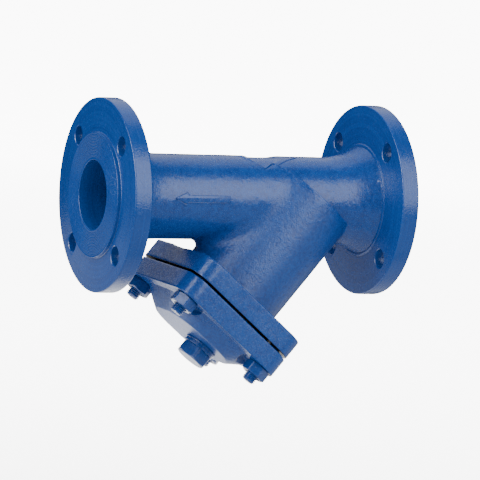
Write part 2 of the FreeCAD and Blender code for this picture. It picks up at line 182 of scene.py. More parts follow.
def rounded(points, radii, steps=4):
    """A closed profile with its corners rounded; radii gives each corner's radius."""
    result = []
    count = len(points)
    for k, radius in enumerate(radii):
        here = Vector(points[k])
        if radius <= 0:
            result.append(tuple(here))
            continue
        before = (Vector(points[k - 1]) - here).normalized()
        after = (Vector(points[(k + 1) % count]) - here).normalized()
        half = before.angle(after) / 2
        reach = radius / math.tan(half)
        start = here + before * reach
        end = here + after * reach
        centre = here + (before + after).normalized() * (radius / math.sin(half))
        for step in range(steps + 1):
            share = step / steps
            spoke = (start - centre).slerp(end - centre, share)
            result.append(tuple(centre + spoke.normalized() * radius))
    return result


def boolean(thing, tool, operation):
    """Applies an exact boolean with a tool that is then removed."""
    modifier = thing.modifiers.new("cut", "BOOLEAN")
    modifier.operation = operation
    modifier.solver = "EXACT"
    modifier.object = tool
    baked_mesh(thing)
    bpy.data.objects.remove(tool)
    return thing


def welded_copy(name, node, matrix):
    """A closed copy of a CAD node's mesh in another frame."""
    bm = bmesh.new()
    bm.from_mesh(nodes[node].data)
    bmesh.ops.remove_doubles(bm, verts=bm.verts, dist=1e-6)
    return mesh_object(name, bm, matrix)


WORN_PASSES = 2  # smoothing of a casting's edges
FILL_PASSES = 260  # smoothing of its inside corners
SLOW_SCALE, FINE_SCALE = 90, 330  # of the two noises in a casting's wave
SLOW_SHARE, FINE_SHARE = 0.65, 0.35


def cast_skin(thing, voxel, faces, wave, seed, corner=None):
    """Gives a copied solid the soft edges and uneven skin of a sand casting.

    It is remeshed to an even skin, its edges are worn round, a slow wave is laid on it and
    it is thinned to about the number of triangles asked for. The corner function says how
    strongly each place is filled out like an inside corner in sand.
    """
    remesh = thing.modifiers.new("skin", "REMESH")
    remesh.mode = "VOXEL"
    remesh.voxel_size = voxel
    soften = thing.modifiers.new("soften", "SMOOTH")
    soften.factor = 0.5
    soften.iterations = WORN_PASSES
    baked_mesh(thing)
    if corner:
        group = thing.vertex_groups.new(name="corner")
        for vertex in thing.data.vertices:
            weight = corner(vertex.co)
            if weight > 0:
                group.add([vertex.index], weight, "REPLACE")
        fill = thing.modifiers.new("fill", "SMOOTH")
        fill.factor = 0.5
        fill.iterations = FILL_PASSES
        fill.vertex_group = group.name
        baked_mesh(thing)
        thing.vertex_groups.clear()
    mesh = thing.data
    offset = Vector((seed, 2.7 * seed, -1.3 * seed))
    normals = [vertex.normal.copy() for vertex in mesh.vertices]
    for vertex, normal in zip(mesh.vertices, normals):
        slow = noise.noise(vertex.co * SLOW_SCALE + offset)
        fine = noise.noise(vertex.co * FINE_SCALE + offset)
        vertex.co += normal * ((SLOW_SHARE * slow + FINE_SHARE * fine) * wave)
    thin = thing.modifiers.new("thin", "DECIMATE")
    thin.ratio = min(1.0, faces / (2 * len(mesh.polygons)))
    return baked_mesh(thing)


def finished(thing, body, slot, material, *stands_for):
    """Puts a piece on its body with its material and the nodes it stands for. The slot is not used."""
    thing.data.materials.clear()
    thing.data.materials.append(material)
    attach(thing, body)
    if stands_for:
        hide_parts(*stands_for)
    return thing


# ---------------------------------------------------------------- material tools


class Nodes:
    """A short way to build a material's nodes."""

    def __init__(self, name):
        self.material = bpy.data.materials.new(name)
        self.material.use_nodes = True
        self.tree = self.material.node_tree
        self.shader = self.tree.nodes["Principled BSDF"]
        self.place = self.add("ShaderNodeTexCoord").outputs["Object"]

    def add(self, kind, **settings):
        node = self.tree.nodes.new(kind)
        for key, value in settings.items():
            setattr(node, key, value)
        return node

    def link(self, source, target):
        self.tree.links.new(source, target)

    def feed(self, target, item):
        if isinstance(item, (int, float)):
            target.default_value = item
        else:
            self.link(item, target)

    def maths(self, operation, *items):
        node = self.add("ShaderNodeMath", operation=operation)
        for target, item in zip(node.inputs, items):
            self.feed(target, item)
        return node.outputs[0]

    def weighted(self, *pairs):
        """The sum of (item, weight) pairs."""
        total = None
        for item, weight in pairs:
            term = self.maths("MULTIPLY", item, weight)
            total = term if total is None else self.maths("ADD", total, term)
        return total

    def distance(self, first, second):
        """The length of the vector that has these two parts."""
        square = self.maths("ADD", *(self.maths("MULTIPLY", part, part) for part in (first, second)))
        return self.maths("SQRT", square)

    def noise(self, scale, detail=3.0, roughness=0.55, place=None):
        node = self.add("ShaderNodeTexNoise")
        node.inputs["Scale"].default_value = scale
        node.inputs["Detail"].default_value = detail
        node.inputs["Roughness"].default_value = roughness
        self.link(place or self.place, node.inputs["Vector"])
        return node.outputs[0]

    def cells(self, scale):
        node = self.add("ShaderNodeTexVoronoi", feature="F1")
        node.inputs["Scale"].default_value = scale
        self.link(self.place, node.inputs["Vector"])
        return node.outputs["Distance"]

    def ramp(self, item, low, high, low_value=0.0, high_value=1.0):
        node = self.add("ShaderNodeMapRange")
        node.clamp = True
        self.feed(node.inputs["Value"], item)
        for name, value in zip(
            ("From Min", "From Max", "To Min", "To Max"), (low, high, low_value, high_value)
        ):
            node.inputs[name].default_value = value
        return node.outputs[0]

    def blend(self, share, first, second):
        node = self.add("ShaderNodeMix", data_type="RGBA")
        self.feed(node.inputs["Factor"], share)
        for name, item in (("A", first), ("B", second)):
            target = [s for s in node.inputs if s.name == name and s.type == "RGBA"][0]
            if isinstance(item, tuple):
                target.default_value = (*item, 1.0)
            else:
                self.link(item, target)
        return [s for s in node.outputs if s.type == "RGBA"][0]

    def bump(self, height, distance):
        node = self.add("ShaderNodeBump")
        node.inputs["Strength"].default_value = 1.0
        node.inputs["Distance"].default_value = distance
        self.link(height, node.inputs["Height"])
        self.link(node.outputs["Normal"], self.shader.inputs["Normal"])

    def shade(self, colour=None, roughness=None, **fixed):
        if colour is not None:
            self.link(colour, self.shader.inputs["Base Color"])
        if roughness is not None:
            self.link(roughness, self.shader.inputs["Roughness"])
        for name, value in fixed.items():
            self.shader.inputs[name.replace("_", " ")].default_value = value
        return self.material

    def position(self):
        """The object's X, Y and Z."""
        node = self.add("ShaderNodeSeparateXYZ")
        self.link(self.place, node.inputs[0])
        return node.outputs


PAINT = (0.001, 0.07, 0.34)
PAINT_DEEP = (0.0, 0.043, 0.24)
PAINT_LIGHT = (0.008, 0.1, 0.42)
# Near black: bare iron darkened as painted shade in the gap at the cover's joint.
BARE_IRON_IN_SHADE = (0.004, 0.005, 0.006)
SPRAY_THIN = (0.001, 0.07, 0.33)
SPRAY_DEEP = (0.0, 0.04, 0.21)
WORN_STEEL = (0.06, 0.08, 0.12)
WORN_COPPER = (0.3, 0.14, 0.08)
LEG_BUMP = 1.7  # how much deeper the leg's grain is than the neck's
LEG_ROUGHER = 0.1


def painted_casting(name, grain, depth, bare_from, bare_to):
    """Blue paint over the grain of a sand casting, with pits, thin spots and a rougher leg. Its colour
    follows the grain's height: painted shade in the hollows and a painted highlight on the high spots.

    The grain is a noise scale and the depth is the height of the bumps. The joint face is left
    bare and painted near black, as painted shade for the gap between body and cover: the mask
    goes from paint to that dark iron between two distances down the leg, and only near the leg.
    """
    n = Nodes(name)
    fine = n.noise(grain, 2.0, 0.5)
    coarse = n.noise(grain * 0.4, 1.0, 0.5)
    broad = n.noise(38, 2.0, 0.5)
    pits = n.ramp(n.cells(grain * 1.1), 0.0, 0.3, -1.0, 0.0)
    pit_field = n.ramp(n.noise(grain * 0.7, 1.0), 0.6, 0.66)
    pitted = n.maths("MULTIPLY", n.maths("MULTIPLY", pits, pit_field), 0.7)
    rough_field = n.ramp(broad, 0.38, 0.66, 0.65, 1.0)
    grains = n.maths("MULTIPLY", fine, rough_field)
    height = n.maths("ADD", n.maths("ADD", grains, n.maths("MULTIPLY", coarse, 0.8)), pitted)
    # Painted shade and highlight: the colour is darker where the grain is low and lighter where it
    # stands high.
    tone = n.ramp(n.maths("ADD", fine, coarse), 0.75, 1.2)
    colour = n.blend(tone, PAINT_DEEP, PAINT)
    dusted = n.blend(n.ramp(broad, 0.4, 0.7, 0.0, 0.22), colour, PAINT_LIGHT)
    x, y, z = n.position()
    past_crossing = n.maths("SUBTRACT", x, LEG_X)
    along = n.weighted((past_crossing, down.x), (z, down.z))
    off = n.weighted((past_crossing, across.x), (z, across.z))
    near_leg = n.ramp(n.maths("ABSOLUTE", off), 60 * MM, 65 * MM, 1.0, 0.0)
    bare = n.maths("MULTIPLY", n.ramp(along, bare_from, bare_to), near_leg)
    # The joint face: bare iron painted near black, the painted shade of the gap between body and
    # cover.
    finish = n.blend(bare, dusted, BARE_IRON_IN_SHADE)
    inside_leg = n.ramp(n.distance(off, y), LEG_R + 1 * MM, LEG_R + 5 * MM, 1.0, 0.0)
    on_leg = n.maths("MULTIPLY", inside_leg, n.ramp(along, 0, 4 * MM))
    grained = n.ramp(n.noise(grain * 1.3, 1.0), 0.3, 0.7, 0.18, 0.3)
    roughness = n.maths("ADD", grained, n.maths("MULTIPLY", on_leg, LEG_ROUGHER))
    leg_gain = n.ramp(on_leg, 0, 1, 1.0, LEG_BUMP)
    n.bump(n.maths("MULTIPLY", height, leg_gain), depth)
    return n.shade(finish, roughness, Specular_IOR_Level=0.58)


def painted_turned(name):
    """Blue paint over faces and rims turned on a lathe about the run's axis."""
    n = Nodes(name)
    x, y, z = n.position()
    rings = n.add("ShaderNodeCombineXYZ")
    n.link(n.distance(y, z), rings.inputs[0])
    n.link(x, rings.inputs[1])
    marks = n.noise(900, 1.0, 0.5, rings.outputs[0])
    wide_marks = n.noise(300, 1.0, 0.5, rings.outputs[0])
    skin = n.noise(900, 1.0, 0.5)
    broad = n.noise(45, 2.0)
    height = n.maths("ADD", n.maths("MULTIPLY", marks, 0.35), skin)
    height = n.maths("ADD", height, n.maths("MULTIPLY", wide_marks, 0.7))
    tone = n.ramp(n.maths("ADD", marks, n.maths("MULTIPLY", skin, 0.6)), 0.5, 1.1)
    colour = n.blend(tone, PAINT_DEEP, PAINT)
    dusted = n.blend(n.ramp(broad, 0.4, 0.75, 0.0, 0.2), colour, PAINT_LIGHT)
    roughness = n.ramp(n.noise(300, 2.0), 0.3, 0.7, 0.19, 0.3)
    n.bump(height, 0.13 * MM)
    return n.shade(dusted, roughness, Specular_IOR_Level=0.55)


def painted_metal(name, bare, worn_from):
    """Thin blue overspray on steel or copper, with bare specks where it has worn."""
    n = Nodes(name)
    fine = n.noise(1100, 2.0, 0.5)
    broad = n.noise(160, 2.0)
    colour = n.blend(n.ramp(fine, 0.35, 0.65), SPRAY_DEEP, SPRAY_THIN)
    worn = n.blend(n.ramp(broad, worn_from, worn_from + 0.06, 0.0, 0.4), colour, bare)
    roughness = n.ramp(broad, 0.3, 0.7, 0.18, 0.32)
    n.bump(n.maths("ADD", fine, broad), 0.06 * MM)
    return n.shade(worn, roughness, Specular_IOR_Level=0.55, Coat_Weight=0.2, Coat_Roughness=0.12)


def stainless_sheet(name):
    """Brushed bright steel."""
    n = Nodes(name)
    stretched = n.add("ShaderNodeMapping")
    stretched.inputs["Scale"].default_value = (1.0, 9.0, 1.0)
    n.link(n.place, stretched.inputs["Vector"])
    brushed = n.noise(700, 3.0, 0.6, stretched.outputs[0])
    broad = n.noise(60, 2.0)
    colour = n.blend(n.ramp(broad, 0.35, 0.7), (0.5, 0.5, 0.49), (0.62, 0.61, 0.6))
    roughness = n.ramp(brushed, 0.3, 0.7, 0.24, 0.42)
    n.bump(brushed, 0.02 * MM)
    return n.shade(colour, roughness, Metallic=1.0)


def joint_sheet(name):
    """Dark fibrous gasket sheet."""
    n = Nodes(name)
    fibres = n.noise(1300, 4.0, 0.7)
    broad = n.noise(120, 2.0)
    colour = n.blend(n.ramp(fibres, 0.35, 0.7), (0.004, 0.004, 0.005), (0.012, 0.013, 0.015))
    roughness = n.ramp(broad, 0.3, 0.7, 0.7, 0.9)
    n.bump(fibres, 0.06 * MM)
    return n.shade(colour, roughness)


def pale_floor(name):
    """A matt white floor that returns more light than falls on it, most of all far off."""
    n = Nodes(name)
    distance = n.add("ShaderNodeVectorMath", operation="LENGTH")
    n.link(n.place, distance.inputs[0])
    far = n.ramp(distance.outputs["Value"], 0.4, 4.0)
    uneven = n.ramp(n.noise(3, 2.0), 0.3, 0.7)
    near_white = n.blend(uneven, (2.2, 2.2, 2.21), (2.25, 2.25, 2.25))
    diffuse = n.add("ShaderNodeBsdfDiffuse")
    n.link(n.blend(far, near_white, (12, 12, 12)), diffuse.inputs["Color"])
    n.link(diffuse.outputs[0], n.tree.nodes["Material Output"].inputs["Surface"])
    n.tree.nodes.remove(n.shader)
    return n.material


casting_paint = painted_casting(
    "casting_paint", 950, 0.17 * MM, JOINT_FACE - 0.3 * MM, JOINT_FACE - 0.1 * MM
)
cover_paint = painted_casting(
    "cover_paint", 980, 0.14 * MM, COVER_TOP + 0.3 * MM, COVER_TOP + 0.1 * MM
)
turned_paint = painted_turned("turned_paint")
fastener_paint = painted_metal("fastener_paint", WORN_STEEL, 0.64)
screen_steel = stainless_sheet("screen_steel")
ring_copper = painted_metal("ring_copper", WORN_COPPER, 0.6)
gasket_sheet = joint_sheet("gasket_sheet")

# ---------------------------------------------------------------- the casting

SKIRT = 1.4 * MM  # depth of the flange pieces' recess, which the casting's ends reach into
SUNK = 0.6 * MM  # how much further the casting's ends reach
NECK_END_R = 40.2 * MM
CLEAR = 0.02 * MM
FAR = 0.2

core = welded_copy("strainer_casting", "body", LEG.inverted())
keep_profile = (
    (0, FLANGE_T - SKIRT - SUNK),
    (NECK_END_R, FLANGE_T - SKIRT - SUNK),
    (NECK_END_R, FLANGE_T + CLEAR),
    (FAR, FLANGE_T + CLEAR),
    (FAR, LENGTH - FLANGE_T - CLEAR),
    (NECK_END_R, LENGTH - FLANGE_T - CLEAR),
    (NECK_END_R, LENGTH - FLANGE_T + SKIRT + SUNK),
    (0, LENGTH - FLANGE_T + SKIRT + SUNK),
)
keep = mesh_object("keep", lathe(keep_profile, 96, closed=False), LEG.inverted() @ RUN)
boolean(core, keep, "INTERSECT")


def leg_corner(place):
    """How near a place in the leg's frame is to the corner between the leg and the neck."""
    in_row = LEG @ place
    off_leg = math.hypot(place.x, place.y) - LEG_R
    off_run = math.hypot(in_row.y, in_row.z) - NECK_R
    too_deep = -1.5 * MM
    reach = 14 * MM
    fade_in = 8 * MM
    if in_row.x > LEG_X or min(off_leg, off_run) < too_deep:
        return 0.0
    near = 1 - max(off_leg, off_run) / reach
    return max(0.0, min(1.0, 1.6 * near, place.z / fade_in))


cast_skin(core, 0.6 * MM, 190000, 0.16 * MM, 3.1, leg_corner)
core.data.transform(LEG)
smooth_shaded(core, 50)
finished(core, "valve_body", "casting", casting_paint, "body")


def flange(name, flip):
    """A flange turned with a grooved raised face, rounded edges and four chamfered bolt holes."""
    pitch = 1.1 * MM
    groove = 0.2 * MM
    rim_rows = 12
    slow_wave, fine_wave = 0.05 * MM, 0.02 * MM
    recess = FLANGE_T - SKIRT
    bead = 0.9 * MM
    corners = (
        (BORE_R, 0.0),
        (FACE_R, 0.0),
        (FACE_R, FACE_T),
        (FLANGE_R, FACE_T),
        (FLANGE_R, FLANGE_T),
        (NECK_END_R + 1.4 * MM, FLANGE_T),
        (NECK_END_R + 0.9 * MM, FLANGE_T + bead),
        (NECK_END_R - 0.8 * MM, FLANGE_T + bead),
        (NECK_END_R - 2 * MM, FLANGE_T),
        (NECK_END_R - 2 * MM, recess),
        (BORE_R, recess),
    )
    radii = [r * MM for r in (0.5, 0.45, 0.7, 0.8, 0.9, 0.3, 0.4, 0.5, 0, 0, 0)]
    smooth = rounded(corners, radii)
    profile = []
    for here, after in zip(smooth, smooth[1:] + smooth[:1]):
        profile.append(here)
        on_face = max(abs(here[1]), abs(after[1])) < CLEAR
        on_rim = min(here[0], after[0]) > FLANGE_R - CLEAR
        if on_face:
            radius = here[0] + 1.0 * MM
            while radius < after[0] - 1.2 * MM:
                profile += [
                    (radius, 0.0),
                    (radius + pitch * 0.45, groove),
                    (radius + pitch * 0.9, 0.0),
                ]
                radius += pitch
        elif on_rim:
            for row in range(1, rim_rows):
                profile.append((FLANGE_R, here[1] + (after[1] - here[1]) * row / rim_rows))
    bm = lathe(profile, 288)
    for vertex in bm.verts:
        radius = math.hypot(vertex.co.x, vertex.co.y)
        if radius > FLANGE_R - 0.5 * MM:
            wave = noise.noise(vertex.co * 120) * slow_wave
            wave += noise.noise(vertex.co * 420) * fine_wave
            scale = 1 + (wave - slow_wave) / radius
            vertex.co.x *= scale
            vertex.co.y *= scale
    placed = RUN
    if flip:
        placed = Matrix.Translation((LENGTH, 0, 0)) @ Matrix.Rotation(-math.pi / 2, 4, "Y")
    thing = mesh_object(name, bm, placed)
    chamfer = 0.5 * MM
    over = 0.3 * MM
    mouth = BOLT_HOLE_R + chamfer + over
    hole = (
        (0, -1 * MM),
        (mouth, -1 * MM),
        (mouth, FACE_T - over),
        (BOLT_HOLE_R, FACE_T + chamfer),
        (BOLT_HOLE_R, FLANGE_T - chamfer),
        (mouth, FLANGE_T + over),
        (mouth, FLANGE_T + 1 * MM),
        (0, FLANGE_T + 1 * MM),
    )
    cutters = bmesh.new()
    for number in range(4):
        angle = math.radians(45 + 90 * number)
        at = (BOLT_CIRCLE_R * math.cos(angle), BOLT_CIRCLE_R * math.sin(angle), 0)
        spot = Matrix.Translation(at)
        one = lathe(hole, 64, closed=False)
        one.transform(placed @ spot)
        part = bpy.data.meshes.new("cutter")
        one.to_mesh(part)
        one.free()
        cutters.from_mesh(part)
        bpy.data.meshes.remove(part)
    boolean(thing, mesh_object("cutters", cutters), "DIFFERENCE")
    smooth_shaded(thing, 32)
    return finished(thing, "valve_body", "casting", turned_paint, "body")


flange("outlet_flange", False)
flange("inlet_flange", True)


def on_neck(x, z, proud=0.0):
    """A place on the side of the neck that bears the flow arrow."""
    return Vector((x, -math.sqrt(NECK_R**2 - z * z) - proud, z))


def flow_arrow():
    """The flow arrow: a low plate with rounded edges that follows the neck."""
    proud, sunk, edge, strip = 1.1 * MM, 0.6 * MM, 0.25 * MM, 0.8 * MM
    corners = (  # tip, upper barb, shaft and lower barb, as x and z in millimetres
        (51.2, 2.2),
        (60.8, 6.6),
        (61.4, 4.4),
        (94.6, 4.4),
        (94.6, -0.4),
        (61.4, -0.4),
        (60.8, -2.0),
    )
    bm = bmesh.new()
    face = bm.faces.new([bm.verts.new((x * MM, -proud, z * MM)) for x, z in corners])
    walls = bmesh.ops.extrude_face_region(bm, geom=[face])["geom"]
    for vertex in [item for item in walls if isinstance(item, bmesh.types.BMVert)]:
        vertex.co.y = sunk
    rim = [e for e in bm.edges if all(v.co.y < 0 for v in e.verts)]
    bmesh.ops.bevel(bm, geom=rim, offset=edge, segments=3, profile=0.5, affect="EDGES")
    height = corners[-1][1] * MM
    while height < corners[1][1] * MM:
        whole = bm.verts[:] + bm.edges[:] + bm.faces[:]
        bmesh.ops.bisect_plane(bm, geom=whole, plane_co=(0, 0, height), plane_no=(0, 0, 1))
        height += strip
    for vertex in bm.verts:
        vertex.co = on_neck(vertex.co.x, vertex.co.z, -vertex.co.y)
    thing = smooth_shaded(mesh_object("flow_arrow", bm), 40)
    return finished(thing, "valve_body", "casting", casting_paint)


def ridge(name, corners, radius):
    """A fine ridge the mould left on the neck, through (x, z) corners in millimetres."""
    curve = bpy.data.curves.new(name, "CURVE")
    curve.dimensions = "3D"
    curve.bevel_depth = radius
    curve.bevel_resolution = 3
    curve.use_fill_caps = True
    sunk = 0.55 * radius
    points = []
    for start, end in zip(corners, corners[1:]):
        steps = max(2, int(math.dist(start, end)))
        for step in range(steps + 1):
            share = step / steps
            x, z = ((a + (b - a) * share) * MM for a, b in zip(start, end))
            points.append(on_neck(x, z, -sunk))
    spline = curve.splines.new("POLY")
    spline.points.add(len(points) - 1)
    for point, place in zip(spline.points, points):
        point.co = (*place, 1.0)
    drawn = bpy.data.objects.new(name, curve)
    bpy.context.scene.collection.objects.link(drawn)
    bm = bmesh.new()
    bm.from_mesh(drawn.evaluated_get(bpy.context.evaluated_depsgraph_get()).to_mesh())
    bpy.data.objects.remove(drawn)
    thing = smooth_shaded(mesh_object(name, bm), 60)
    return finished(thing, "valve_body", "casting", casting_paint)


flow_arrow()
for name, radius, corners in (
    ("crown_ridge_outlet", 0.6 * MM, ((113, 30.6), (119.5, 27.6), (125.6, 23.4))),
    (
        "crown_ridge_inlet",
        0.5 * MM,
        ((125.6, 23.4), (133.6, 27), (137.7, 26), (147, 28.8), (157.5, 30.4)),
    ),
    ("leg_ridge", 0.5 * MM, ((135.4, 26.6), (141.6, 22.9), (149.4, 17.8), (155, 13.4))),
):
    ridge(name, corners, radius)

# ---------------------------------------------------------------- the cover

cover = welded_copy("strainer_cover", "cover", LEG.inverted())
cast_skin(cover, 0.5 * MM, 120000, 0.1 * MM, 8.4)
cover.data.transform(LEG)
smooth_shaded(cover, 50)
finished(cover, "cover_body", "cover_casting", cover_paint, "cover")


def flat_ring(inner, outer, low, high, edge):
    """The profile of a flat ring with rounded edges."""
    return rounded(((inner, low), (outer, low), (outer, high), (inner, high)), [edge] * 4)


gasket_profile = flat_ring(33.5 * MM, 46 * MM, JOINT_FACE, COVER_TOP, 0.25 * MM)
gasket = mesh_object("cover_joint", lathe(gasket_profile), LEG)
smooth_shaded(gasket, 40)
finished(gasket, "cover_body", "gasket", gasket_sheet, "cover_gasket")

# ---------------------------------------------------------------- fasteners


def thread_rows(radius, depth, pitch, low, high, segments, lead_in):
    """Rings of (radius, height) pairs of a V thread, tapering at both ends."""
    per_turn = 8
    crest = 0.12
    rows = max(2, int((high - low) / pitch * per_turn))
    rings = []
    for row in range(rows + 1):
        height = low + (high - low) * row / rows
        edge = min(height - low, high - height)
        ring = []
        for k in range(segments):
            phase = (height / pitch - k / segments) % 1.0
            flank = abs(2 * phase - 1)
            dip = depth * min(1.0, max(0.0, (flank - crest) / (1 - 2 * crest)))
            limit = radius - lead_in + edge
            ring.append((min(radius - dip, max(limit, radius - depth - lead_in)), height))
        rings.append(ring)
    return rings


def threaded_rod(radius, depth, pitch, low, high, lead_in, segments=48):
    """A bmesh of a rod with a thread all along it and flat ends."""
    bm = bmesh.new()
    rings = thread_rows(radius, depth, pitch, low, high, segments, lead_in)
    loops = [vertex_ring(bm, circle_points(ring)) for ring in rings]
    first = bm.verts.new((0, 0, low))
    last = bm.verts.new((0, 0, high))
    bridge(bm, [first], loops[0])
    bridge_all(bm, loops)
    bridge(bm, loops[-1], [last])
    return bm


def hexagon_rings(flats, low, high, chamfer_low, chamfer_high, segments=96, turn=0.0):
    """The rings of a hexagon whose corners are cut by a cone at one or both ends."""
    flat = flats / 2
    corner = flat / math.cos(math.pi / 6)
    soft_corner = corner - 0.012 * flats
    cone_start = flat * 0.95
    slope = math.tan(math.radians(30))
    outer = []
    for k in range(segments):
        angle = 2 * math.pi * k / segments
        from_middle = (angle + math.pi / 6) % (math.pi / 3) - math.pi / 6
        spread = flat / math.cos(math.pi / 6 - abs(from_middle))
        outer.append(min(spread, soft_corner))

    def ring(radii, heights):
        return circle_points(list(zip(radii, heights)), turn)

    drop = [(r - cone_start) * slope for r in outer]
    rings = [ring([cone_start] * segments, [low] * segments)]
    if chamfer_low:
        rings.append(ring(outer, [low + d for d in drop]))
    else:
        rings.append(ring([r - 0.25 * MM for r in outer], [low] * segments))
        rings.append(ring(outer, [low + 0.25 * MM] * segments))
    top = [high - d for d in drop] if chamfer_high else [high] * segments
    rings.append(ring(outer, top))
    rings.append(ring([cone_start] * segments, [high] * segments))
    return rings


def nut_mesh(flats, low, high, bore, turn):
    """A bmesh of a hexagon nut with a chamfered, threaded bore."""
    segments = 96
    bm = bmesh.new()
    rings = hexagon_rings(flats, low, high, True, True, segments, turn)
    edge = 0.7 * MM
    depth = 0.5 * MM
    inner = thread_rows(bore + depth, depth, STUD_PITCH, low + edge, high - edge, segments, 0.0)
    bore_rings = [[(bore + edge, low)] * segments] + inner + [[(bore + edge, high)] * segments]
    loops = [vertex_ring(bm, ring) for ring in rings]
    inside = [vertex_ring(bm, circle_points(ring, turn)) for ring in bore_rings]
    bridge_all(bm, loops)
    for one, two in zip(inside, inside[1:]):
        bridge(bm, two, one)
    bridge(bm, loops[-1], inside[-1])
    bridge(bm, inside[0], loops[0])
    return bm


NUT_FLATS = 17 * MM
NUT_HEIGHT = 8 * MM
NUT_BORE_R = 5.05 * MM
NUT_TURNS = (12, 41, 27, 5)  # where each nut came to rest, in degrees
for number, (side_u, side_v) in enumerate(STUD_SIDES, 1):
    at_stud = leg_shift(side_u * STUD_SIDE, side_v * STUD_SIDE)
    stud = mesh_object(
        f"threaded_stud_{number}",
        threaded_rod(STUD_R, 0.85 * MM, STUD_PITCH, STUD_START, STUD_END, 1.0 * MM),
        at_stud,
    )
    smooth_shaded(stud, 50)
    finished(stud, "valve_body", "fastener", fastener_paint, f"stud_{number}")
    turn = math.radians(NUT_TURNS[number - 1])
    nut = mesh_object(
        f"hexagon_nut_{number}",
        nut_mesh(NUT_FLATS, COVER_UNDER, COVER_UNDER + NUT_HEIGHT, NUT_BORE_R, turn),
        at_stud,
    )
    smooth_shaded(nut, 28)
    finished(nut, f"nut_{number}_body", "fastener", fastener_paint, f"nut_{number}")

# ---------------------------------------------------------------- drain plug and its ring

RING_FACE = BOSS_FACE + 1.5 * MM
COLLAR_FACE = RING_FACE + 2.5 * MM
HEAD_END = COLLAR_FACE + 9.2 * MM
PLUG_TURN = math.radians(-10)
PIPE_PITCH = 1.814 * MM


def plug_mesh():
    """A bmesh of the drain plug: thread, collar and hexagon in one."""
    segments = 96
    bm = bmesh.new()
    start, end = BOSS_FACE - 13 * MM, RING_FACE - 1.2 * MM
    rings = thread_rows(10.3 * MM, 1.1 * MM, PIPE_PITCH, start, end, segments, 1.0 * MM)
    for radius, height in (
        (9.3 * MM, RING_FACE - 1.1 * MM),
        (9.3 * MM, RING_FACE),
        (12.0 * MM, RING_FACE),
        (12.3 * MM, RING_FACE + 0.3 * MM),
        (12.3 * MM, COLLAR_FACE - 0.5 * MM),
        (12.0 * MM, COLLAR_FACE - 0.15 * MM),
        (11.4 * MM, COLLAR_FACE),
    ):
        rings.append([(radius, height)] * segments)
    loops = [vertex_ring(bm, circle_points(ring)) for ring in rings]
    head = hexagon_rings(22 * MM, COLLAR_FACE, HEAD_END, False, True, segments, PLUG_TURN)
    turned = [vertex_ring(bm, ring) for ring in head[2:]]
    foot = [bm.verts.new((v.co.x, v.co.y, COLLAR_FACE)) for v in turned[0]]
    for vertex in turned[0]:
        vertex.co.z = COLLAR_FACE + 0.35 * MM
    for vertex in foot:
        vertex.co.x *= 0.97
        vertex.co.y *= 0.97
    loops += [foot] + turned
    tip = bm.verts.new((0, 0, loops[0][0].co.z))
    bridge(bm, [tip], loops[0])
    bridge_all(bm, loops)
    dish = [bm.verts.new((0.55 * v.co.x, 0.55 * v.co.y, HEAD_END)) for v in loops[-1]]
    bridge(bm, loops[-1], dish)
    middle = bm.verts.new((0, 0, HEAD_END - 0.15 * MM))
    bridge(bm, dish, [middle])
    return bm


plug = mesh_object("hexagon_drain_plug", plug_mesh(), leg_shift(DRAIN_U, 0))
smooth_shaded(plug, 28)
finished(plug, "plug_body", "plug", fastener_paint, "drain_plug")

seal_profile = flat_ring(10.6 * MM, 12.9 * MM, BOSS_FACE, RING_FACE, 0.4 * MM)
seal = mesh_object("copper_sealing_ring", lathe(seal_profile, 128), leg_shift(DRAIN_U, 0))
smooth_shaded(seal, 40)
finished(seal, "plug_ring_body", "seal", ring_copper, "plug_sealing_ring")

# ---------------------------------------------------------------- the screen


def perforated_sleeve():
    """A rolled sheet with staggered round holes, plain at its ends and along its seam."""
    radius = 28.5 * MM
    thick = 1.0 * MM
    low, high = 9.3 * MM, 113.7 * MM
    pitch = 3.0 * MM
    hole = 0.95 * MM
    count = int(2 * math.pi * radius / pitch)
    step = 2 * math.pi / count
    row_height = pitch * math.sqrt(3) / 2
    margin = 6 * MM
    seam_cells = 2
    rows = int((high - low - 2 * margin) / row_height)
    start = (low + high - rows * row_height) / 2
    bm = bmesh.new()

    def spot(angle, height):
        return bm.verts.new((radius * math.cos(angle), radius * math.sin(angle), height))

    for row in range(rows):
        base = start + row * row_height
        stagger = 0.5 * step if row % 2 else 0.0
        for cell in range(count):
            left = cell * step + stagger
            middle = left + step / 2
            centre = base + row_height / 2
            border = [
                (left, base),
                (middle, base),
                (left + step, base),
                (left + step, centre),
                (left + step, base + row_height),
                (middle, base + row_height),
                (left, base + row_height),
                (left, centre),
            ]
            outer = [spot(a, h) for a, h in border]
            if cell < seam_cells:
                bm.faces.new(outer)
                continue
            inner = []
            for k in range(8):
                turn = math.radians(225 + 45 * k)
                aside = hole / radius * math.cos(turn)
                inner.append(spot(middle + aside, centre + hole * math.sin(turn)))
            bridge(bm, outer, inner)
    for base, top in ((low, start), (start + rows * row_height, high)):
        for half in range(2 * count):
            a, b = half * step / 2, (half + 1) * step / 2
            bm.faces.new([spot(a, base), spot(b, base), spot(b, top), spot(a, top)])
    bmesh.ops.remove_doubles(bm, verts=bm.verts, dist=1e-5)
    thing = mesh_object("perforated_screen", bm, LEG)
    shell = thing.modifiers.new("sheet", "SOLIDIFY")
    shell.thickness = thick
    shell.offset = -1.0
    baked_mesh(thing)
    smooth_shaded(thing, 40)
    return finished(thing, "screen_body", "screen", screen_steel, "screen_shell")


perforated_sleeve()


